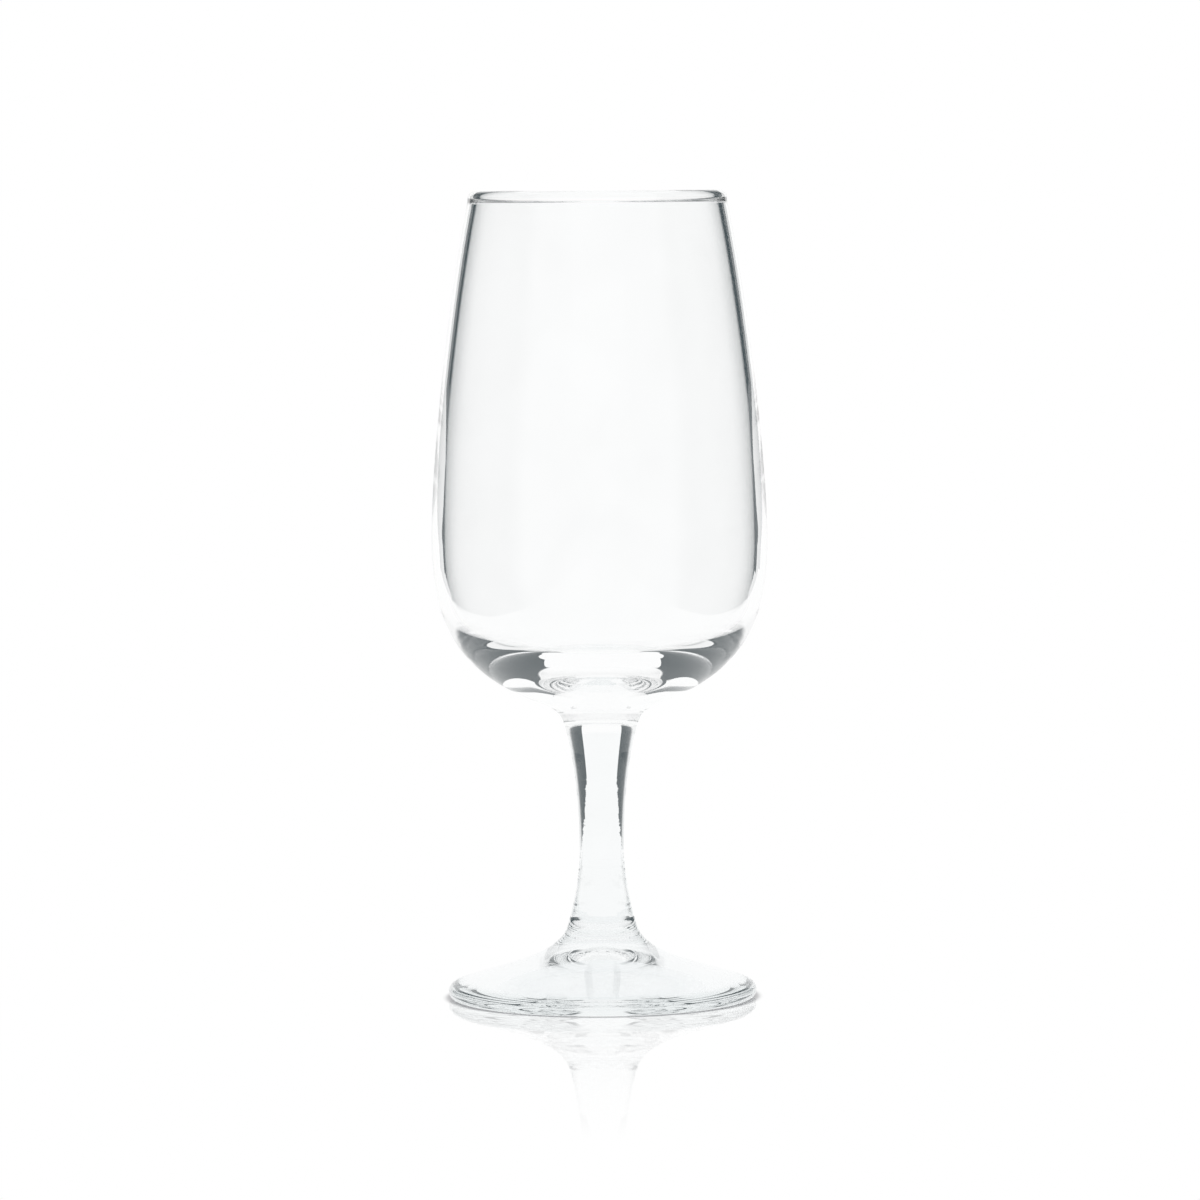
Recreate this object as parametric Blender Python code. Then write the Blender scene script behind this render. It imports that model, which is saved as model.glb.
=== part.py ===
"""Stemmed nosing glass in clear blown glass: a tulip bowl, a drawn stem and a hollowed foot.

The three gathers of glass are separate pieces that butt together at two flat welds.
Metres, with +Z up. The origin is on the glass's axis, on the surface that the foot stands on.
"""

from math import cos, radians, sin

import bmesh
import bpy
import numpy as np
from mathutils import Matrix, Vector
from mathutils.geometry import interpolate_bezier

# Height of each piece, and the gap left at each weld
FOOT_HEIGHT = 0.0120
STEM_LENGTH = 0.0394
BOWL_HEIGHT = 0.1030
WELD_GAP = 0.0003

# Weld of stem to foot, and of bowl to stem: radius, and which way the skin runs there
LOWER_WELD_RADIUS = 0.00745
LOWER_WELD_HEADING = 127.6
UPPER_WELD_RADIUS = 0.00682
UPPER_WELD_HEADING = 75.0

# Foot: a thin rounded edge, a cone that flares into the stem, and a hollow underneath
FOOT_RADIUS = 0.02966
FOOT_EDGE_HEIGHT = 0.0015
EDGE_TOP_INSET = 0.0018
EDGE_TOP_HEIGHT = 0.0032
FOOT_TOP_HEADING = 161.8
LAND_INSET = 0.00126
LAND_WIDTH = 0.0010
HOLLOW_DEPTH = 0.0082
HOLLOW_HEADING = -14.3

# Stem: its waist is the slimmest place
WAIST_RADIUS = 0.00423
WAIST_RISE = 0.0160

# Outside of the bowl, with rises counted from the bowl's weld and drops from its rim
NECK_RADIUS = 0.0115
NECK_RISE = 0.0048
NECK_HEADING = 20.8
BELLY_RADIUS = 0.0322
BELLY_RISE = 0.0367
RIM_RADIUS = 0.0248
RIM_BEAD_RADIUS = 0.00115
BEAD_OUTER_WRAP = 10.0
BEAD_INNER_WRAP = 60.0
LIP_FLARE = 0.00013
LIP_DROP = 0.0026
LIP_HEADING = 101.5

# Inside of the bowl: wall thickness at the rim and at the belly, and the rounded heel
WALL_AT_RIM = 0.00175
WALL_AT_BELLY = 0.00245
THICK_WALL_RISE = 0.0380
THIN_WALL_RISE = 0.0680
HEEL_RISE = 0.02595
BOWL_FLOOR = 0.01165

# Fullness of each curve at its two ends, as shares of the straight line between them
HOLLOW_PULLS = (0.12, 0.525)
EDGE_LOWER_PULLS = (0.36, 0.46)
EDGE_UPPER_PULLS = (0.32, 0.44)
FOOT_TOP_PULLS = (0.54, 0.234)
STEM_LOWER_PULLS = (0.133, 0.294)
STEM_UPPER_PULLS = (0.538, 0.134)
NECK_PULLS = (0.45, 0.50)
BASE_PULLS = (0.492, 0.389)
WALL_PULLS = (0.236, 0.271)
HEEL_PULLS = (0.226, 0.734)
BEAD_FOOT_PULLS = (0.40, 0.40)

# Fineness of the turned surfaces
SEGMENTS = 48
SHORT_STEPS = 3
MIDDLE_STEPS = 8
LONG_STEPS = 10
MERGE_DISTANCE = 1e-6
WAY_STEP = 0.0002

UPWARD = 90.0
OUTWARD = 0.0
INWARD = 180.0
SHARP_ANGLE = 40.0

# Clear glass with a faint cool cast, a little deeper where the glass is thick
BOWL_COLOUR = (0.97, 0.99, 0.985, 1.0)
STEM_COLOUR = (0.95, 0.98, 0.975, 1.0)
FOOT_COLOUR = (0.95, 0.98, 0.97, 1.0)
GLASS_ROUGHNESS = 0.02
GLASS_IOR = 1.52


def clear_scene():
    """Remove every object that is in the scene."""
    for thing in list(bpy.data.objects):
        bpy.data.objects.remove(thing, do_unlink=True)


def knot(radius, height, heading):
    """A point of an outline, as (radius, height), with the unit vector along which the outline runs."""
    angle = radians(heading)
    return Vector((radius, height)), Vector((cos(angle), sin(angle)))


def curve(start, end, pulls, steps):
    """Points on the smooth curve from one knot to the next, without the start itself."""
    start_point, start_way = start
    end_point, end_way = end
    span = (end_point - start_point).length
    leaving = start_point + start_way * span * pulls[0]
    arriving = end_point - end_way * span * pulls[1]
    return interpolate_bezier(start_point, leaving, arriving, end_point, steps + 1)[1:]


def arc(centre, radius, first, last, steps):
    """Points on a circular arc between two angles in degrees, with both ends."""
    angles = np.radians(np.linspace(first, last, steps + 1))
    return [centre + radius * Vector((cos(angle), sin(angle))) for angle in angles]


def turned(name, outline, colour, base, height):
    """A glass piece turned about the axis from an outline that starts and ends on that axis."""
    builder = bmesh.new()
    points = [builder.verts.new((point.x, 0.0, point.y)) for point in outline]
    edges = [builder.edges.new(pair) for pair in zip(points, points[1:])]
    bmesh.ops.spin(
        builder,
        geom=points + edges,
        cent=(0.0, 0.0, 0.0),
        axis=(0.0, 0.0, 1.0),
        angle=radians(360.0),
        steps=SEGMENTS,
        space=Matrix.Identity(4),
        use_merge=True,
    )
    bmesh.ops.remove_doubles(builder, verts=builder.verts, dist=MERGE_DISTANCE)
    bmesh.ops.recalc_face_normals(builder, faces=builder.faces)
    mesh = bpy.data.meshes.new(name)
    builder.to_mesh(mesh)
    builder.free()
    mesh.shade_smooth()
    mesh.set_sharp_from_angle(angle=radians(SHARP_ANGLE))
    mesh.materials.append(glass(name + "_glass", colour))
    piece = bpy.data.objects.new(name, mesh)
    piece.location.z = height
    piece.parent = base
    bpy.context.scene.collection.objects.link(piece)
    return piece


def glass(name, colour):
    """Clear polished glass."""
    material = bpy.data.materials.new(name)
    material.use_nodes = True
    shader = material.node_tree.nodes["Principled BSDF"]
    shader.inputs["Base Color"].default_value = colour
    shader.inputs["Metallic"].default_value = 0.0
    shader.inputs["Roughness"].default_value = GLASS_ROUGHNESS
    shader.inputs["IOR"].default_value = GLASS_IOR
    shader.inputs["Transmission Weight"].default_value = 1.0
    return material


def foot_outline():
    """Hollow, land, rounded edge and flared cone, from the axis below to the axis at the weld."""
    land_outer = FOOT_RADIUS - LAND_INSET
    hollow_top = knot(0.0, HOLLOW_DEPTH, OUTWARD)
    hollow_edge = knot(land_outer - LAND_WIDTH, 0.0, HOLLOW_HEADING)
    land = knot(land_outer, 0.0, OUTWARD)
    edge = knot(FOOT_RADIUS, FOOT_EDGE_HEIGHT, UPWARD)
    edge_top = knot(FOOT_RADIUS - EDGE_TOP_INSET, EDGE_TOP_HEIGHT, FOOT_TOP_HEADING)
    weld = knot(LOWER_WELD_RADIUS, FOOT_HEIGHT, LOWER_WELD_HEADING)
    return [
        hollow_top[0],
        *curve(hollow_top, hollow_edge, HOLLOW_PULLS, MIDDLE_STEPS),
        land[0],
        *curve(land, edge, EDGE_LOWER_PULLS, SHORT_STEPS),
        *curve(edge, edge_top, EDGE_UPPER_PULLS, SHORT_STEPS),
        *curve(edge_top, weld, FOOT_TOP_PULLS, MIDDLE_STEPS),
        Vector((0.0, FOOT_HEIGHT)),
    ]


def stem_outline():
    """The stem from its weld to the foot, through its waist, to its weld to the bowl."""
    lower_weld = knot(LOWER_WELD_RADIUS, 0.0, LOWER_WELD_HEADING)
    waist = knot(WAIST_RADIUS, WAIST_RISE, UPWARD)
    upper_weld = knot(UPPER_WELD_RADIUS, STEM_LENGTH, UPPER_WELD_HEADING)
    return [
        Vector((0.0, 0.0)),
        lower_weld[0],
        *curve(lower_weld, waist, STEM_LOWER_PULLS, MIDDLE_STEPS),
        *curve(waist, upper_weld, STEM_UPPER_PULLS, MIDDLE_STEPS),
        Vector((0.0, STEM_LENGTH)),
    ]


def bowl_outside():
    """The bowl's outer side from its weld up to the lip under the rim bead."""
    weld = knot(UPPER_WELD_RADIUS, 0.0, UPPER_WELD_HEADING)
    neck = knot(NECK_RADIUS, NECK_RISE, NECK_HEADING)
    belly = knot(BELLY_RADIUS, BELLY_RISE, UPWARD)
    lip = knot(RIM_RADIUS + LIP_FLARE, BOWL_HEIGHT - LIP_DROP, LIP_HEADING)
    return [
        weld[0],
        *curve(weld, neck, NECK_PULLS, SHORT_STEPS),
        *curve(neck, belly, BASE_PULLS, LONG_STEPS),
        *curve(belly, lip, WALL_PULLS, LONG_STEPS),
    ]


def wall_thickness(rise):
    """Thickness of the bowl's wall, thin at the rim and easing to its full value at the belly."""
    share = np.clip((rise - THICK_WALL_RISE) / (THIN_WALL_RISE - THICK_WALL_RISE), 0.0, 1.0)
    eased = share * share * (3.0 - 2.0 * share)
    return WALL_AT_BELLY + (WALL_AT_RIM - WALL_AT_BELLY) * eased


def bowl_inside(outside, bead_end):
    """The bowl's inner side from the bead, down the wall and round the heel to the axis."""
    radii, rises = np.array(outside).T

    def inner_point(rise):
        return Vector((np.interp(rise, rises, radii) - wall_thickness(rise), rise))

    def inner_knot(rise):
        way = inner_point(rise - WAY_STEP) - inner_point(rise + WAY_STEP)
        return inner_point(rise), way.normalized()

    wall_rises = np.linspace(BOWL_HEIGHT - LIP_DROP, HEEL_RISE, LONG_STEPS + 1)
    floor = knot(0.0, BOWL_FLOOR, INWARD)
    return [
        *curve(bead_end, inner_knot(wall_rises[0]), BEAD_FOOT_PULLS, SHORT_STEPS),
        *(inner_point(rise) for rise in wall_rises[1:]),
        *curve(inner_knot(HEEL_RISE), floor, HEEL_PULLS, MIDDLE_STEPS),
    ]


def bowl_outline():
    """The bowl's whole section, from the axis at the weld round the rim to the axis inside."""
    outside = bowl_outside()
    bead_centre = Vector((RIM_RADIUS - RIM_BEAD_RADIUS, BOWL_HEIGHT - RIM_BEAD_RADIUS))
    last = INWARD + BEAD_INNER_WRAP
    bead = arc(bead_centre, RIM_BEAD_RADIUS, -BEAD_OUTER_WRAP, last, LONG_STEPS)
    bead_end = knot(*bead[-1], last + UPWARD)
    return [Vector((0.0, 0.0)), *outside, *bead, *bowl_inside(outside, bead_end)]


def main():
    clear_scene()
    base = bpy.data.objects.new("nosing_glass", None)
    bpy.context.scene.collection.objects.link(base)
    stem_base = FOOT_HEIGHT + WELD_GAP
    bowl_base = stem_base + STEM_LENGTH + WELD_GAP
    turned("foot", foot_outline(), FOOT_COLOUR, base, 0.0)
    turned("stem", stem_outline(), STEM_COLOUR, base, stem_base)
    turned("bowl", bowl_outline(), BOWL_COLOUR, base, bowl_base)


main()
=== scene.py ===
"""Looks of a stemmed nosing glass: clear blown glass on a glossy white table in a dim studio.

The bowl, stem and foot are turned from smooth outlines. They meet at two welds, where the glass runs
on unbroken. Metres, with +Z up. The origin is on the glass's axis, on the table that the foot stands on.
"""

from math import cos, radians, sin

import bmesh
import bpy
import numpy as np
from bpy.props import FloatProperty, FloatVectorProperty, IntProperty, PointerProperty
from mathutils import Matrix, Vector
from mathutils.geometry import interpolate_bezier


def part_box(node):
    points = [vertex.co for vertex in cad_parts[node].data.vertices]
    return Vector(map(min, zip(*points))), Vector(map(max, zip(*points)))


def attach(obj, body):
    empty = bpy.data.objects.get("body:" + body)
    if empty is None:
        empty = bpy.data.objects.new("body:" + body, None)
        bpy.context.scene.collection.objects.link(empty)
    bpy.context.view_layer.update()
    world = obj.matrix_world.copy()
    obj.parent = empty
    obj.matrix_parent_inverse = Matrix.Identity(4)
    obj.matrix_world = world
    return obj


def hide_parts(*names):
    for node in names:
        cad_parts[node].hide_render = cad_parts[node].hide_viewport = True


bl_info = {
    "name": "Nosing Glass",
    "version": (1, 0, 0),
    "blender": (4, 5, 0),
    "location": "View3D > Sidebar > Nosing Glass",
    "description": "Makes a stemmed nosing glass in clear glass and the white table that it stands on",
    "category": "Object",
}

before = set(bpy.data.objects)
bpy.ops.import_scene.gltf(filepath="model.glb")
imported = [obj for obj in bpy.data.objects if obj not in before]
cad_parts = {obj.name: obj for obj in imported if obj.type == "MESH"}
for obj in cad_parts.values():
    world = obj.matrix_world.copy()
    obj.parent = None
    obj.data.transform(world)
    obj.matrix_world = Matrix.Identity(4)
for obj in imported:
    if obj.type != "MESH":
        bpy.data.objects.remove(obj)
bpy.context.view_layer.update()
FOOT_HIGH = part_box("foot")[1]
STEM_LOW, STEM_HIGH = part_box("stem")
BOWL_LOW, BOWL_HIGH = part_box("bowl")

# The welds lie midway in the gaps between the pieces
LOWER_WELD = (FOOT_HIGH.z + STEM_LOW.z) / 2
UPPER_WELD = (STEM_HIGH.z + BOWL_LOW.z) / 2

UPWARD = 90.0
OUTWARD = 0.0
INWARD = 180.0

# Fullness of each curve at its two ends, as shares of the straight line between them
HOLLOW_PULLS = (0.12, 0.525)
EDGE_LOWER_PULLS = (0.36, 0.46)
EDGE_UPPER_PULLS = (0.32, 0.44)
FOOT_TOP_PULLS = (0.54, 0.234)
STEM_LOWER_PULLS = (0.133, 0.294)
STEM_UPPER_PULLS = (0.538, 0.134)
NECK_PULLS = (0.45, 0.50)
BASE_PULLS = (0.492, 0.389)
WALL_PULLS = (0.236, 0.271)
HEEL_PULLS = (0.226, 0.734)
BEAD_FOOT_PULLS = (0.40, 0.40)

# Fineness of the turned surfaces
SEGMENTS = 240
EDGE_STEPS = 12
BEAD_STEPS = 50
CURVE_STEPS = 60
SHARP_ANGLE = 40.0
MERGE_DISTANCE = 1e-7
WAY_STEP = 0.0002
CAP_TOLERANCE = 1e-6

# Cords in the melt, and waves in the skin across and along the axis, to each metre of glass
BOWL_CORDS = 40.0
STEM_CORDS = 90.0
FOOT_CORDS = 60.0
BOWL_WAVES = (60.0, 60.0, 90.0)
STEM_WAVES = (70.0, 70.0, 900.0)
FOOT_WAVES = (80.0, 80.0, 400.0)

# Detail of the noise that makes the waves
SOFT_DETAIL = 1.0
FINE_DETAIL = 2.0

# Noise that makes the cords: its detail, how far it is pulled about, and where a cord starts and is full
CORD_DETAIL = 3.0
CORD_DISTORTION = 1.5
CORD_START = 0.35
CORD_FULL = 0.75

WHITE = (1.0, 1.0, 1.0, 1.0)
MIRROR_ROUGHNESS = 0.02
CREASE_SAMPLES = 16

# Crossings that take a ray through one piece of glass, and the margin for telling whole counts apart
ONE_PIECE_CROSSINGS = 2.0
COUNT_MARGIN = 0.5


def length(name, description, default):
    """A property that holds a length in metres."""
    return FloatProperty(name=name, description=description, default=default, unit="LENGTH", precision=5)


def angle(name, description, degrees):
    """A property that holds an angle, with its default given in degrees."""
    return FloatProperty(name=name, description=description, default=radians(degrees), subtype="ANGLE")


def number(name, description, default):
    """A property that holds a plain number."""
    return FloatProperty(name=name, description=description, default=default, precision=4)


def colour(name, description, default):
    """A property that holds a colour with its alpha."""
    return FloatVectorProperty(
        name=name, description=description, default=default, size=4, min=0.0, max=1.0, subtype="COLOR"
    )


class FootShape(bpy.types.PropertyGroup):
    """Sizes of the foot: a hollow underneath, a narrow land, a rounded edge and a cone that flares up."""

    radius: length("Radius", "Radius of the foot at its widest", FOOT_HIGH.x)
    edge_height: length("Edge height", "Height at which the foot is widest", 0.0015)
    edge_top_inset: length("Edge top inset", "How far in from the edge the cone starts", 0.0018)
    edge_top_height: length("Edge top height", "Height at which the cone starts", 0.0032)
    top_heading: angle("Cone heading", "Which way the cone runs where it starts", 161.8)
    land_inset: length("Land inset", "How far in from the edge the foot touches the table", 0.00126)
    land_width: length("Land width", "Width of the ring that touches the table", 0.001)
    hollow_depth: length("Hollow depth", "Height of the hollow under the foot, at the axis", 0.0082)
    hollow_heading: angle("Hollow heading", "Which way the hollow runs where it meets the land", -14.3)


class StemShape(bpy.types.PropertyGroup):
    """Sizes of the drawn stem, which is slimmest at its waist and flares at both welds."""

    lower_radius: length("Lower weld radius", "Radius where the stem meets the foot", STEM_HIGH.x)
    lower_heading: angle("Lower weld heading", "Which way the skin runs at the lower weld", 127.6)
    waist_radius: length("Waist radius", "Radius of the stem where it is slimmest", 0.00423)
    waist_rise: length("Waist rise", "Height of the waist above the lower weld", 0.0162)
    upper_radius: length("Upper weld radius", "Radius where the stem meets the bowl", 0.00682)
    upper_heading: angle("Upper weld heading", "Which way the skin runs at the upper weld", 75.0)


class BowlShape(bpy.types.PropertyGroup):
    """Sizes of the tulip bowl, with rises counted from its weld and drops from its rim."""

    neck_radius: length("Neck radius", "Radius where the weld's flare turns into the base", 0.0115)
    neck_rise: length("Neck rise", "Height of the neck above the weld", 0.00495)
    neck_heading: angle("Neck heading", "Which way the skin runs at the neck", 20.8)
    belly_radius: length("Belly radius", "Radius of the bowl at its widest", BOWL_HIGH.x)
    belly_rise: length("Belly rise", "Height of the belly above the weld", 0.03685)
    rim_radius: length("Rim radius", "Outer radius of the rounded rim", 0.0248)
    bead_radius: length("Rim bead radius", "Radius of the fire-polished bead along the rim", 0.00115)
    bead_outer_wrap: angle("Bead outer wrap", "How far the bead turns past level on its outer side", 10.0)
    bead_inner_wrap: angle("Bead inner wrap", "How far the bead turns past level on its inner side", 60.0)
    lip_flare: length("Lip flare", "How much wider the lip is than the rim", 0.00013)
    lip_drop: length("Lip drop", "Distance below the rim at which the bead has run into the wall", 0.0026)
    lip_heading: angle("Lip heading", "Which way the skin runs at the lip", 101.5)
    wall_at_rim: length("Wall at rim", "Thickness of the wall near the rim", 0.00175)
    wall_at_belly: length("Wall at belly", "Thickness of the wall at the belly", 0.00245)
    thick_wall_rise: length("Thick wall rise", "Height at which the wall has its full thickness", 0.03815)
    thin_wall_rise: length("Thin wall rise", "Height at which the wall has thinned out", 0.06815)
    heel_rise: length("Heel rise", "Height at which the wall starts to round into the floor", 0.0261)
    floor_rise: length("Floor rise", "Height of the bowl's inner floor at the axis", 0.0118)


class GlassFinish(bpy.types.PropertyGroup):
    """Look of the glass: its cast, and the faint waves that blowing and drawing leave in its skin."""

    refraction: number("Refraction", "Index of refraction of the glass", 1.52)
    bowl_cast: colour("Bowl cast", "Cast of the thin glass of the bowl", (0.992, 0.996, 0.996, 1.0))
    stem_cast: colour("Stem cast", "Cast of the solid glass of the stem", (0.95, 0.965, 0.967, 1.0))
    foot_cast: colour("Foot cast", "Cast of the foot's cone", (0.94, 0.957, 0.962, 1.0))
    edge_cast: colour("Edge cast", "Cast at the edge of the foot", (0.84, 0.875, 0.88, 1.0))
    edge_start: length("Edge start", "Radius at which the foot's cast starts to deepen", 0.0262)
    edge_end: length("Edge end", "Radius at which the foot's cast is deepest", 0.0285)
    cord_depth: number("Cord depth", "How much of its brightness the cast keeps in the faint cords", 0.985)
    bowl_wave: length("Bowl wave depth", "Depth of the faint waves in the blown bowl", 0.000002)
    stem_wave: length("Stem wave depth", "Depth of the fine ripples across the drawn stem", 0.00003)
    foot_wave: length("Foot wave depth", "Depth of the waves in the pressed foot", 0.000006)


class StudioStage(bpy.types.PropertyGroup):
    """The white table and backdrop, the dim studio round them and the camera."""

    white: colour("White", "Colour of the table and the backdrop", WHITE)
    table_width: length("Table width", "Width of the table where the glass stands and in front of it", 0.32)
    table_back_width: length("Table back width", "Width of the table along its back edge", 0.98)
    table_front: length("Table front", "How far the table reaches in front of the glass", 0.8)
    table_back: length("Table back", "How far the table reaches behind the glass", 0.6)
    backdrop_away: length("Backdrop distance", "Distance of the backdrop behind the glass", 1.05)
    backdrop_left: length("Backdrop left", "Reach of the backdrop to the left above its shoulder", 0.52)
    backdrop_right: length("Backdrop right", "Reach of the backdrop to the right above its shoulder", 0.47)
    backdrop_flare: length("Backdrop flare", "How much further it reaches each way at table height", 0.28)
    backdrop_shoulder: length("Backdrop shoulder", "Height at which the backdrop has narrowed", 0.1)
    backdrop_low: length("Backdrop bottom", "How far the backdrop hangs below the table", 0.6)
    backdrop_top: length("Backdrop top", "Height of the backdrop above the table", 1.5)
    gloss: number("Table gloss", "Index of refraction of the table's glossy skin", 1.49)
    gloss_near: length("Gloss near", "Distance from the axis up to which the table mirrors fully", 0.05)
    gloss_far: length("Gloss far", "Distance from the axis at which the mirror image has faded", 0.18)
    shade: colour("Shade", "Colour of the table in the crease under the foot", (0.10, 0.095, 0.11, 1.0))
    shade_gain: number("Shade gain", "How strongly the crease under the foot brings up the shade", 2.6)
    shade_reach: length("Shade reach", "How far the crease under the foot darkens the table", 0.0026)
    contact_inner: length("Contact inner radius", "Radius up to which the crease's shade is kept", 0.0293)
    contact_outer: length("Contact outer radius", "Radius at which the crease's shade ends", 0.0312)
    shade_inner: length("Shade inner radius", "Radius up to which the foot's faint shadow is even", 0.026)
    shade_outer: length("Shade outer radius", "Radius at which the foot's faint shadow ends", 0.030)
    shade_through: number("Shade through glass", "Share of the shade in the foot's faint shadow", 0.04)
    dim: colour("Dim studio", "Colour of the dim studio seen in the glass", (0.062, 0.082, 0.09, 1.0))
    behind_end: angle("Behind end", "Bearing at which the dim studio behind the glass ends", 50.0)
    beside_end: angle("Beside end", "Bearing at which the dim studio beside the glass ends", 110.0)
    beside_haze: number("Beside haze", "Dimming beside the glass between its walls and the table", 0.2)
    dim_ease: angle("Dim ease", "Turn over which either dim part of the studio fades out", 20.0)
    wall_start: angle("Wall start", "Climb at which the walls beside the glass start to show", 22.0)
    pit_start: angle("Pit start", "Climb below which the space under the table starts to show", -8.0)
    climb_ease: angle("Climb ease", "Climb over which either of them comes to show fully", 8.0)
    dim_tilt: number("Top tilt", "How steeply the top of the dim walls rises towards the front", 0.45)
    dim_top: number("Wall top", "Level at which the dim walls give way to the bright ceiling", 0.75)
    dim_top_ease: number("Wall top ease", "How softly the dim walls give way to the ceiling", 0.2)
    front_start: angle("Front start", "Bearing at which the front of the studio starts to be dimmed", 80.0)
    front_end: angle("Front end", "Bearing from which the front of the studio is dimmed evenly", 130.0)
    front_dim: number("Front dimming", "How far the front of the studio is dimmed", 0.1)
    camera_distance: length("Camera distance", "Distance of the camera in front of the glass", 1.18)
    camera_height: length("Camera height", "Height of the camera above the table", 0.159)
    aim_height: length("Aim height", "Height on the axis at which the camera looks", 0.0766)
    camera_roll: angle("Camera roll", "Turn of the camera about its own axis", -0.4)
    lens: number("Lens", "Focal length of the camera's lens in millimetres", 184.9)
    bounces: IntProperty(name="Bounces", description="How often light may bounce in the glass", default=160)


def knot(radius, height, heading):
    """A point of an outline, as (radius, height), with the unit vector along which the outline runs."""
    return Vector((radius, height)), Vector((cos(heading), sin(heading)))


def curve(start, end, pulls, steps=CURVE_STEPS):
    """Points on the smooth curve from one knot to the next, without the start itself."""
    start_point, start_way = start
    end_point, end_way = end
    span = (end_point - start_point).length
    leaving = start_point + start_way * span * pulls[0]
    arriving = end_point - end_way * span * pulls[1]
    return interpolate_bezier(start_point, leaving, arriving, end_point, steps + 1)[1:]


def arc(centre, radius, first, last, steps):
    """Points on a circular arc between two angles, with both ends."""
    turns = np.linspace(first, last, steps + 1)
    return [centre + radius * Vector((cos(turn), sin(turn))) for turn in turns]


def foot_outline(shape, stem):
    """Hollow, land, rounded edge and flared cone, from the axis below to the axis at the weld."""
    land_outer = shape.radius - shape.land_inset
    edge_top_radius = shape.radius - shape.edge_top_inset
    hollow_top = knot(0.0, shape.hollow_depth, radians(OUTWARD))
    hollow_edge = knot(land_outer - shape.land_width, 0.0, shape.hollow_heading)
    land = knot(land_outer, 0.0, radians(OUTWARD))
    edge = knot(shape.radius, shape.edge_height, radians(UPWARD))
    edge_top = knot(edge_top_radius, shape.edge_top_height, shape.top_heading)
    weld = knot(stem.lower_radius, LOWER_WELD, stem.lower_heading)
    return [
        hollow_top[0],
        *curve(hollow_top, hollow_edge, HOLLOW_PULLS),
        land[0],
        *curve(land, edge, EDGE_LOWER_PULLS, EDGE_STEPS),
        *curve(edge, edge_top, EDGE_UPPER_PULLS, EDGE_STEPS),
        *curve(edge_top, weld, FOOT_TOP_PULLS),
        Vector((0.0, LOWER_WELD)),
    ]


def stem_outline(shape):
    """The stem from its weld to the foot, through its waist, to its weld to the bowl."""
    lower_weld = knot(shape.lower_radius, LOWER_WELD, shape.lower_heading)
    waist = knot(shape.waist_radius, LOWER_WELD + shape.waist_rise, radians(UPWARD))
    upper_weld = knot(shape.upper_radius, UPPER_WELD, shape.upper_heading)
    return [
        Vector((0.0, LOWER_WELD)),
        lower_weld[0],
        *curve(lower_weld, waist, STEM_LOWER_PULLS),
        *curve(waist, upper_weld, STEM_UPPER_PULLS),
        Vector((0.0, UPPER_WELD)),
    ]


def bowl_outside(shape, stem):
    """The bowl's outer side from its weld up to the lip under the rim bead."""
    weld = knot(stem.upper_radius, UPPER_WELD, stem.upper_heading)
    neck = knot(shape.neck_radius, UPPER_WELD + shape.neck_rise, shape.neck_heading)
    belly = knot(shape.belly_radius, UPPER_WELD + shape.belly_rise, radians(UPWARD))
    lip = knot(shape.rim_radius + shape.lip_flare, BOWL_HIGH.z - shape.lip_drop, shape.lip_heading)
    return [
        weld[0],
        *curve(weld, neck, NECK_PULLS),
        *curve(neck, belly, BASE_PULLS),
        *curve(belly, lip, WALL_PULLS),
    ]


def wall_thickness(shape, height):
    """Thickness of the bowl's wall, thin at the rim and easing to its full value at the belly."""
    thick = UPPER_WELD + shape.thick_wall_rise
    thin = UPPER_WELD + shape.thin_wall_rise
    share = np.clip((height - thick) / (thin - thick), 0.0, 1.0)
    eased = share * share * (3.0 - 2.0 * share)
    return shape.wall_at_belly + (shape.wall_at_rim - shape.wall_at_belly) * eased


def bowl_inside(shape, outside, bead_end):
    """The bowl's inner side from the bead, down the wall and round the heel to the axis."""
    radii, heights = np.array(outside).T

    def inner_point(height):
        return Vector((np.interp(height, heights, radii) - wall_thickness(shape, height), height))

    def inner_knot(height):
        way = inner_point(height - WAY_STEP) - inner_point(height + WAY_STEP)
        return inner_point(height), way.normalized()

    wall_top = BOWL_HIGH.z - shape.lip_drop
    heel_height = UPPER_WELD + shape.heel_rise
    wall_heights = np.linspace(wall_top, heel_height, CURVE_STEPS + 1)
    floor = knot(0.0, UPPER_WELD + shape.floor_rise, radians(INWARD))
    return [
        *curve(bead_end, inner_knot(wall_top), BEAD_FOOT_PULLS, EDGE_STEPS),
        *(inner_point(height) for height in wall_heights[1:]),
        *curve(inner_knot(heel_height), floor, HEEL_PULLS),
    ]


def bowl_outline(shape, stem):
    """The bowl's whole section, from the axis at the weld round the rim to the axis inside."""
    outside = bowl_outside(shape, stem)
    bead_centre = Vector((shape.rim_radius - shape.bead_radius, BOWL_HIGH.z - shape.bead_radius))
    last = radians(INWARD) + shape.bead_inner_wrap
    bead = arc(bead_centre, shape.bead_radius, -shape.bead_outer_wrap, last, BEAD_STEPS)
    bead_end = knot(*bead[-1], last + radians(UPWARD))
    return [Vector((0.0, UPPER_WELD)), *outside, *bead, *bowl_inside(shape, outside, bead_end)]


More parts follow.
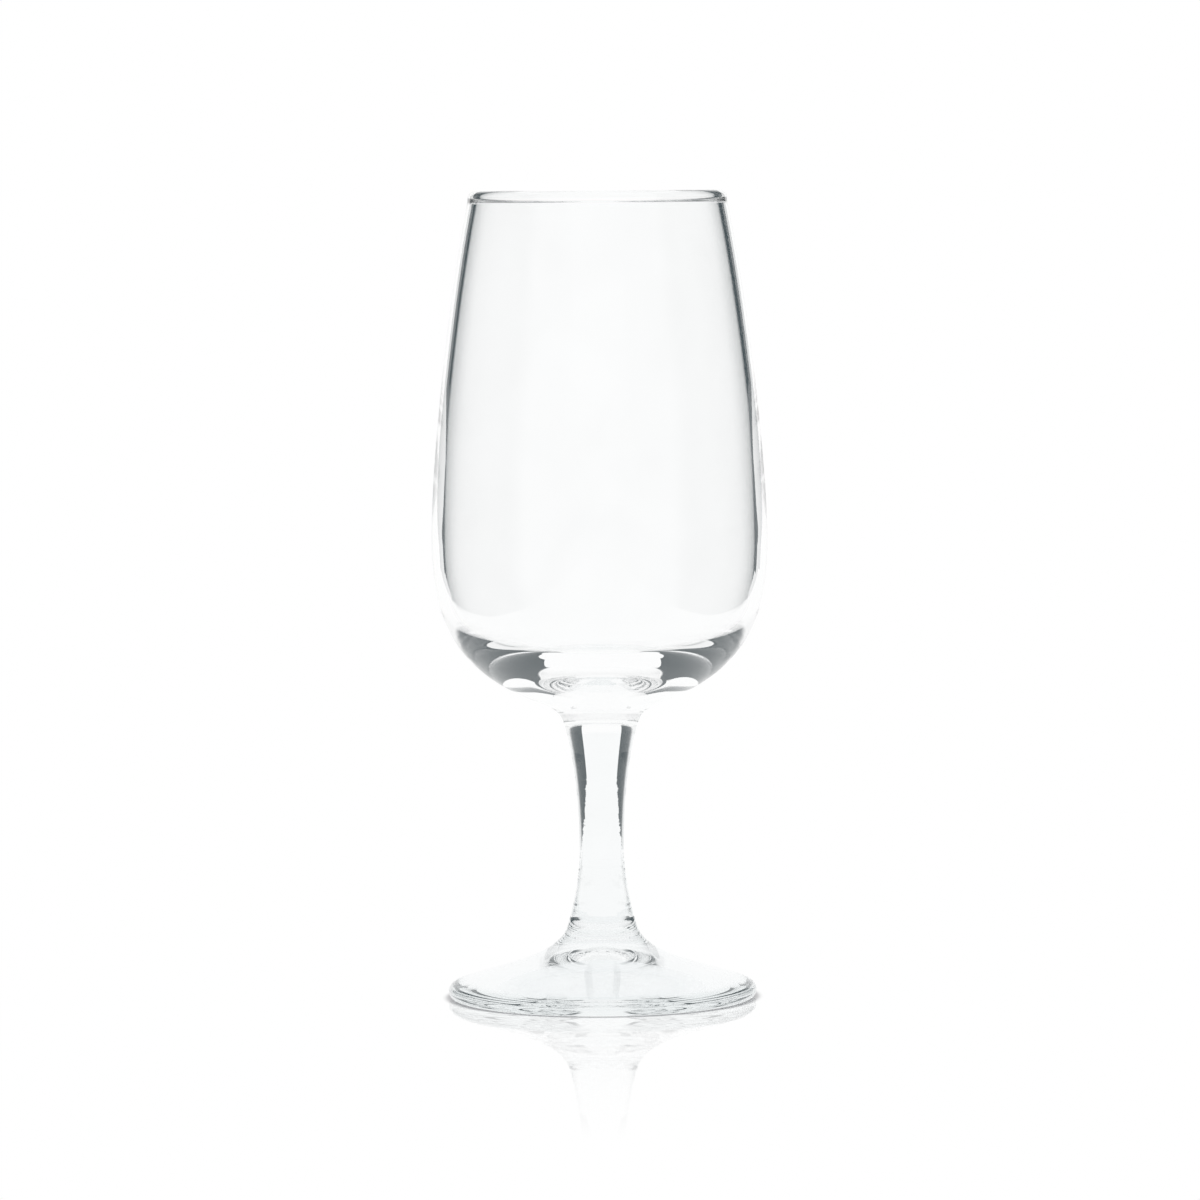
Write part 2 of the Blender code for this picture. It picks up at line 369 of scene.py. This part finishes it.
def turned(name, outline, glass, weld_heights):
    """A glass piece turned about the axis, with the discs at its welds left unseen."""
    builder = bmesh.new()
    points = [builder.verts.new((point.x, 0.0, point.y)) for point in outline]
    edges = [builder.edges.new(pair) for pair in zip(points, points[1:])]
    bmesh.ops.spin(
        builder,
        geom=points + edges,
        cent=(0.0, 0.0, 0.0),
        axis=(0.0, 0.0, 1.0),
        angle=radians(360.0),
        steps=SEGMENTS,
        space=Matrix.Identity(4),
        use_merge=True,
    )
    bmesh.ops.remove_doubles(builder, verts=builder.verts, dist=MERGE_DISTANCE)
    bmesh.ops.recalc_face_normals(builder, faces=builder.faces)
    for face in builder.faces:
        for height in weld_heights:
            if all(abs(corner.co.z - height) < CAP_TOLERANCE for corner in face.verts):
                face.material_index = 1
    mesh = bpy.data.meshes.new(name)
    builder.to_mesh(mesh)
    builder.free()
    mesh.shade_smooth()
    mesh.set_sharp_from_angle(angle=radians(SHARP_ANGLE))
    mesh.materials.append(glass)
    mesh.materials.append(weld_material())
    piece = bpy.data.objects.new(name, mesh)
    bpy.context.scene.collection.objects.link(piece)
    return piece


def add_node(tree, kind, values=None, **settings):
    """A node with its settings, and with each named input set to a value or linked to a socket."""
    made = tree.nodes.new(kind)
    for name, value in settings.items():
        setattr(made, name, value)
    for name, value in (values or {}).items():
        if isinstance(value, bpy.types.NodeSocket):
            tree.links.new(value, made.inputs[name])
        else:
            made.inputs[name].default_value = value
    return made


def add_math(tree, operation, first, second=0.0):
    """The result of a Math node on two values or sockets."""
    made = add_node(tree, "ShaderNodeMath", {0: first, 1: second}, operation=operation)
    return made.outputs["Value"]


def add_ease(tree, value, low, high):
    """A socket that eases from 0 at the low value to 1 at the high one."""
    ends = {"Value": value, "From Min": low, "From Max": high}
    made = add_node(tree, "ShaderNodeMapRange", ends, interpolation_type="SMOOTHSTEP")
    return made.outputs["Result"]


def add_fall(tree, value, low, high):
    """A socket that eases from 1 at the low value to 0 at the high one."""
    return add_math(tree, "SUBTRACT", 1.0, add_ease(tree, value, low, high))


def add_mix(tree, share, first, second):
    """A socket that blends two colours."""
    made = add_node(tree, "ShaderNodeMix", {"Factor": share, "A": first, "B": second}, data_type="RGBA")
    return made.outputs["Result"]


def new_group(name, inputs, outputs):
    """An empty shader node group with named sockets, and its two end nodes."""
    group = bpy.data.node_groups.new(name, "ShaderNodeTree")
    for socket, (kind, default) in inputs.items():
        made = group.interface.new_socket(socket, in_out="INPUT", socket_type=kind)
        made.default_value = default
    for socket, kind in outputs.items():
        group.interface.new_socket(socket, in_out="OUTPUT", socket_type=kind)
    return group, group.nodes.new("NodeGroupInput"), group.nodes.new("NodeGroupOutput")


def skin_waves_group():
    """Node group: the height of the faint waves in a skin, stretched round or along the axis."""
    name = "skin_waves"
    if name in bpy.data.node_groups:
        return bpy.data.node_groups[name]
    group, given, result = new_group(
        name,
        {
            "Waves Per Metre": ("NodeSocketVector", FOOT_WAVES),
            "Detail": ("NodeSocketFloat", FINE_DETAIL),
        },
        {"Height": "NodeSocketFloat"},
    )
    place = group.nodes.new("ShaderNodeTexCoord").outputs["Object"]
    waves = given.outputs["Waves Per Metre"]
    stretched = add_node(group, "ShaderNodeVectorMath", {0: place, 1: waves}, operation="MULTIPLY")
    noise = add_node(
        group,
        "ShaderNodeTexNoise",
        {"Vector": stretched.outputs["Vector"], "Scale": 1.0, "Detail": given.outputs["Detail"]},
    )
    group.links.new(noise.outputs["Fac"], result.inputs["Height"])
    return group


def glass_cords_group():
    """Node group: the glass's cast, which is a little deeper in the soft cords left by the melt."""
    name = "glass_cords"
    if name in bpy.data.node_groups:
        return bpy.data.node_groups[name]
    group, given, result = new_group(
        name,
        {
            "Clear Cast": ("NodeSocketColor", WHITE),
            "Deep Cast": ("NodeSocketColor", WHITE),
            "Cords Per Metre": ("NodeSocketFloat", FOOT_CORDS),
        },
        {"Cast": "NodeSocketColor"},
    )
    place = group.nodes.new("ShaderNodeTexCoord").outputs["Object"]
    noise = add_node(
        group,
        "ShaderNodeTexNoise",
        {
            "Vector": place,
            "Scale": given.outputs["Cords Per Metre"],
            "Detail": CORD_DETAIL,
            "Distortion": CORD_DISTORTION,
        },
    )
    share = add_ease(group, noise.outputs["Fac"], CORD_START, CORD_FULL)
    cast = add_mix(group, share, given.outputs["Clear Cast"], given.outputs["Deep Cast"])
    group.links.new(cast, result.inputs["Cast"])
    return group


def glass_material(name, finish, cast, cords, waves, detail, depth):
    """Clear polished glass with its own cords and skin waves."""
    material = bpy.data.materials.new(name)
    material.use_nodes = True
    tree = material.node_tree
    shader = tree.nodes["Principled BSDF"]
    shader.inputs["Metallic"].default_value = 0.0
    shader.inputs["Roughness"].default_value = 0.0
    shader.inputs["IOR"].default_value = finish.refraction
    shader.inputs["Transmission Weight"].default_value = 1.0
    melt = add_node(tree, "ShaderNodeGroup", node_tree=glass_cords_group())
    melt.inputs["Clear Cast"].default_value = cast
    melt.inputs["Deep Cast"].default_value = (*(share * finish.cord_depth for share in cast[:3]), 1.0)
    melt.inputs["Cords Per Metre"].default_value = cords
    tree.links.new(melt.outputs["Cast"], shader.inputs["Base Color"])
    skin = add_node(tree, "ShaderNodeGroup", node_tree=skin_waves_group())
    skin.inputs["Waves Per Metre"].default_value = waves
    skin.inputs["Detail"].default_value = detail
    height = skin.outputs["Height"]
    bump = add_node(tree, "ShaderNodeBump", {"Height": height, "Strength": 1.0, "Distance": depth})
    tree.links.new(bump.outputs["Normal"], shader.inputs["Normal"])
    return material


def deepen_edge(material, finish):
    """Deepen the cast of the foot's glass towards its edge, where the eye looks along the glass."""
    tree = material.node_tree
    base = tree.nodes["Principled BSDF"].inputs["Base Color"]
    place = tree.nodes.new("ShaderNodeTexCoord").outputs["Object"]
    level = add_node(tree, "ShaderNodeVectorMath", {0: place, 1: (1.0, 1.0, 0.0)}, operation="MULTIPLY")
    away = add_node(tree, "ShaderNodeVectorMath", {0: level.outputs["Vector"]}, operation="LENGTH")
    share = add_ease(tree, away.outputs["Value"], finish.edge_start, finish.edge_end)
    tree.links.new(add_mix(tree, share, base.links[0].from_socket, finish.edge_cast), base)


def weld_material():
    """Nothing to be seen: the discs inside a weld, where the glass of two pieces is one."""
    name = "weld_inside"
    if name in bpy.data.materials:
        return bpy.data.materials[name]
    material = bpy.data.materials.new(name)
    material.use_nodes = True
    material.node_tree.nodes["Principled BSDF"].inputs["Alpha"].default_value = 0.0
    return material


def settle(piece, node):
    """Fix a piece to the glass's one body in place of its plain solid."""
    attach(piece, "root")
    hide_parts(node)


class NOSING_OT_make_bowl(bpy.types.Operator):
    """Make the tulip bowl"""

    bl_idname = "nosing.make_bowl"
    bl_label = "Make Bowl"

    def execute(self, context):
        scene = context.scene
        finish = scene.nosing_finish
        glass = glass_material(
            "bowl_glass",
            finish,
            cast=finish.bowl_cast,
            cords=BOWL_CORDS,
            waves=BOWL_WAVES,
            detail=SOFT_DETAIL,
            depth=finish.bowl_wave,
        )
        outline = bowl_outline(scene.nosing_bowl, scene.nosing_stem)
        piece = turned("tulip_bowl", outline, glass, [UPPER_WELD])
        settle(piece, "bowl")
        return {"FINISHED"}


class NOSING_OT_make_stem(bpy.types.Operator):
    """Make the drawn stem"""

    bl_idname = "nosing.make_stem"
    bl_label = "Make Stem"

    def execute(self, context):
        scene = context.scene
        finish = scene.nosing_finish
        glass = glass_material(
            "stem_glass",
            finish,
            cast=finish.stem_cast,
            cords=STEM_CORDS,
            waves=STEM_WAVES,
            detail=FINE_DETAIL,
            depth=finish.stem_wave,
        )
        outline = stem_outline(scene.nosing_stem)
        piece = turned("drawn_stem", outline, glass, [LOWER_WELD, UPPER_WELD])
        settle(piece, "stem")
        return {"FINISHED"}


class NOSING_OT_make_foot(bpy.types.Operator):
    """Make the hollowed foot"""

    bl_idname = "nosing.make_foot"
    bl_label = "Make Foot"

    def execute(self, context):
        scene = context.scene
        finish = scene.nosing_finish
        glass = glass_material(
            "foot_glass",
            finish,
            cast=finish.foot_cast,
            cords=FOOT_CORDS,
            waves=FOOT_WAVES,
            detail=FINE_DETAIL,
            depth=finish.foot_wave,
        )
        deepen_edge(glass, finish)
        outline = foot_outline(scene.nosing_foot, scene.nosing_stem)
        piece = turned("hollowed_foot", outline, glass, [LOWER_WELD])
        settle(piece, "foot")
        return {"FINISHED"}


def sheet_mesh(name, corners, faces):
    """A flat sheet, or several that share corners."""
    mesh = bpy.data.meshes.new(name)
    mesh.from_pydata(corners, [], faces)
    return mesh


def table_mesh(stage):
    """The top of the table, which widens from the glass to its back edge."""
    half = stage.table_width / 2
    back_half = stage.table_back_width / 2
    front = -stage.table_front
    back = stage.table_back
    corners = [
        (-half, front, 0.0),
        (half, front, 0.0),
        (half, 0.0, 0.0),
        (back_half, back, 0.0),
        (-back_half, back, 0.0),
        (-half, 0.0, 0.0),
    ]
    return sheet_mesh("white_table", corners, [(0, 1, 2, 5), (5, 2, 3, 4)])


def backdrop_mesh(stage):
    """The backdrop, which stands behind the table and narrows from table height up to its shoulder."""
    wide = stage.backdrop_flare
    rows = [
        (-stage.backdrop_low, wide),
        (0.0, wide),
        (stage.backdrop_shoulder, 0.0),
        (stage.backdrop_top, 0.0),
    ]
    corners = []
    for height, flare in rows:
        corners.append((-stage.backdrop_left - flare, stage.backdrop_away, height))
        corners.append((stage.backdrop_right + flare, stage.backdrop_away, height))
    faces = [(first, first + 1, first + 3, first + 2) for first in range(0, len(corners) - 2, 2)]
    return sheet_mesh("backdrop", corners, faces)


def white_material(stage):
    """Bright white, shaded under the foot, with a mirror image round the glass."""
    material = bpy.data.materials.new("glossy_white")
    material.use_nodes = True
    tree = material.node_tree
    tree.nodes.clear()
    rays = tree.nodes.new("ShaderNodeLightPath")
    place = tree.nodes.new("ShaderNodeTexCoord").outputs["Object"]
    away = add_node(tree, "ShaderNodeVectorMath", {0: place}, operation="LENGTH").outputs["Value"]

    # A dark line in the crease along the foot, for the camera, and a faint shadow under the whole foot
    reach = {"Distance": stage.shade_reach}
    crease = add_node(tree, "ShaderNodeAmbientOcclusion", reach, samples=CREASE_SAMPLES)
    closed = add_math(tree, "SUBTRACT", 1.0, crease.outputs["AO"])
    full = add_math(tree, "MINIMUM", add_math(tree, "MULTIPLY", closed, stage.shade_gain), 1.0)
    kept = add_math(tree, "MULTIPLY", full, add_fall(tree, away, stage.contact_inner, stage.contact_outer))
    contact = add_math(tree, "MULTIPLY", kept, rays.outputs["Is Camera Ray"])
    under = add_fall(tree, away, stage.shade_inner, stage.shade_outer)
    shadow = add_math(tree, "MAXIMUM", contact, add_math(tree, "MULTIPLY", under, stage.shade_through))
    tone = add_mix(tree, shadow, stage.white, stage.shade)
    bright = add_node(tree, "ShaderNodeEmission", {"Color": tone, "Strength": 1.0})

    # The mirror image, which is stronger at a low glance and fades away from the glass
    mirror = add_node(tree, "ShaderNodeBsdfGlossy", {"Color": WHITE, "Roughness": MIRROR_ROUGHNESS})
    faded = add_fall(tree, away, stage.gloss_near, stage.gloss_far)
    glance = add_node(tree, "ShaderNodeFresnel", {"IOR": stage.gloss})
    share = add_math(tree, "MULTIPLY", glance.outputs["Fac"], faded)
    blend = {"Fac": share, 1: bright.outputs["Emission"], 2: mirror.outputs["BSDF"]}
    mixed = add_node(tree, "ShaderNodeMixShader", blend)
    add_node(tree, "ShaderNodeOutputMaterial", {"Surface": mixed.outputs["Shader"]})
    return material


def studio_world(stage):
    """A white studio whose dim parts show only in what the glass bends or mirrors."""
    world = bpy.data.worlds.new("studio")
    world.use_nodes = True
    tree = world.node_tree
    tree.nodes.clear()
    rays = tree.nodes.new("ShaderNodeLightPath")
    crossings = rays.outputs["Transmission Depth"]
    ray = tree.nodes.new("ShaderNodeTexCoord").outputs["Generated"]
    way = add_node(tree, "ShaderNodeSeparateXYZ", {"Vector": ray})

    # Where the ray goes: its bearing from straight behind the glass, to either side, and its climb
    bearing = add_math(tree, "ABSOLUTE", add_math(tree, "ARCTAN2", way.outputs["X"], way.outputs["Y"]))
    climb = add_math(tree, "ARCSINE", way.outputs["Z"])
    back = add_fall(tree, bearing, stage.behind_end, stage.behind_end + stage.dim_ease)
    side = add_fall(tree, bearing, stage.beside_end, stage.beside_end + stage.dim_ease)
    high = add_ease(tree, climb, stage.wall_start, stage.wall_start + stage.climb_ease)
    low = add_fall(tree, climb, stage.pit_start - stage.climb_ease, stage.pit_start)

    # How the ray came: with a bounce inside the glass or not, and through how many pieces
    bounced = add_math(tree, "GREATER_THAN", rays.outputs["Glossy Depth"], COUNT_MARGIN)
    near_side = add_math(tree, "LESS_THAN", crossings, ONE_PIECE_CROSSINGS + COUNT_MARGIN)
    counts = {0: crossings, 1: ONE_PIECE_CROSSINGS, 2: COUNT_MARGIN}
    one_piece = add_node(tree, "ShaderNodeMath", counts, operation="COMPARE").outputs["Value"]

    # Behind the glass, the dim studio shows to straight rays that aren't low and to near bounces
    straight = add_math(tree, "SUBTRACT", 1.0, add_math(tree, "MAXIMUM", bounced, low))
    near_bounce = add_math(tree, "MULTIPLY", bounced, near_side)
    behind = add_math(tree, "MULTIPLY", back, add_math(tree, "MAXIMUM", straight, near_bounce))

    # Beside the glass, it shows to rays through one piece: fully if bounced or steep, else as a haze
    low_beside = add_math(tree, "MULTIPLY", low, add_math(tree, "SUBTRACT", 1.0, back))
    steep = add_math(tree, "MAXIMUM", high, low_beside)
    shown = add_math(tree, "MAXIMUM", add_math(tree, "MAXIMUM", bounced, steep), stage.beside_haze)
    beside = add_math(tree, "MULTIPLY", side, add_math(tree, "MULTIPLY", shown, one_piece))

    # The dim walls end below a bright ceiling, and the front is a little dim at every height
    lean = add_math(tree, "MULTIPLY", way.outputs["Y"], stage.dim_tilt)
    level = add_math(tree, "ADD", way.outputs["Z"], lean)
    below_top = add_fall(tree, level, stage.dim_top, stage.dim_top + stage.dim_top_ease)
    walls = add_math(tree, "MULTIPLY", below_top, add_math(tree, "MAXIMUM", behind, beside))
    front = add_ease(tree, bearing, stage.front_start, stage.front_end)
    dim = add_math(tree, "MAXIMUM", walls, add_math(tree, "MULTIPLY", front, stage.front_dim))
    seen = add_math(tree, "MULTIPLY", dim, rays.outputs["Is Singular Ray"])
    tone = add_mix(tree, seen, WHITE, stage.dim)
    light = add_node(tree, "ShaderNodeBackground", {"Color": tone, "Strength": 1.0})
    add_node(tree, "ShaderNodeOutputWorld", {"Surface": light.outputs["Background"]})
    return world


def add_camera(stage):
    """The camera, in front of the glass and a little above it."""
    lens = bpy.data.cameras.new("camera")
    lens.lens = stage.lens
    camera = bpy.data.objects.new("camera", lens)
    camera.location = (0.0, -stage.camera_distance, stage.camera_height)
    look = Vector((0.0, 0.0, stage.aim_height)) - camera.location
    upright = look.to_track_quat("-Z", "Y").to_matrix()
    camera.rotation_euler = (upright @ Matrix.Rotation(stage.camera_roll, 3, "Z")).to_euler()
    bpy.context.scene.collection.objects.link(camera)
    return camera


class NOSING_OT_make_stage(bpy.types.Operator):
    """Make the white table and backdrop, the studio round them and the camera"""

    bl_idname = "nosing.make_stage"
    bl_label = "Make Stage"

    def execute(self, context):
        scene = context.scene
        stage = scene.nosing_stage
        white = white_material(stage)
        for mesh in (table_mesh(stage), backdrop_mesh(stage)):
            mesh.materials.append(white)
            sheet = bpy.data.objects.new(mesh.name, mesh)
            scene.collection.objects.link(sheet)
        scene.world = studio_world(stage)
        scene.camera = add_camera(stage)
        scene.view_settings.view_transform = "Standard"
        scene.cycles.max_bounces = stage.bounces
        scene.cycles.transmission_bounces = stage.bounces
        scene.cycles.glossy_bounces = stage.bounces
        scene.cycles.transparent_max_bounces = stage.bounces
        return {"FINISHED"}


class NOSING_PT_panel(bpy.types.Panel):
    """Sizes, finish and stage of the nosing glass"""

    bl_label = "Nosing Glass"
    bl_idname = "NOSING_PT_panel"
    bl_space_type = "VIEW_3D"
    bl_region_type = "UI"
    bl_category = "Nosing Glass"

    def draw(self, context):
        for operator in MAKERS:
            self.layout.operator(operator.bl_idname)
        for name, group in SETTINGS.items():
            column = self.layout.box().column()
            settings = getattr(context.scene, name)
            for prop in group.__annotations__:
                column.prop(settings, prop)


SETTINGS = {
    "nosing_foot": FootShape,
    "nosing_stem": StemShape,
    "nosing_bowl": BowlShape,
    "nosing_finish": GlassFinish,
    "nosing_stage": StudioStage,
}
MAKERS = (NOSING_OT_make_foot, NOSING_OT_make_stem, NOSING_OT_make_bowl, NOSING_OT_make_stage)
CLASSES = (*SETTINGS.values(), *MAKERS, NOSING_PT_panel)


def register():
    for made in CLASSES:
        bpy.utils.register_class(made)
    for name, group in SETTINGS.items():
        setattr(bpy.types.Scene, name, PointerProperty(type=group))


def unregister():
    for name in SETTINGS:
        delattr(bpy.types.Scene, name)
    for made in reversed(CLASSES):
        bpy.utils.unregister_class(made)


def main():
    register()
    bpy.ops.nosing.make_foot()
    bpy.ops.nosing.make_stem()
    bpy.ops.nosing.make_bowl()
    bpy.ops.nosing.make_stage()


if __name__ == "__main__":
    main()
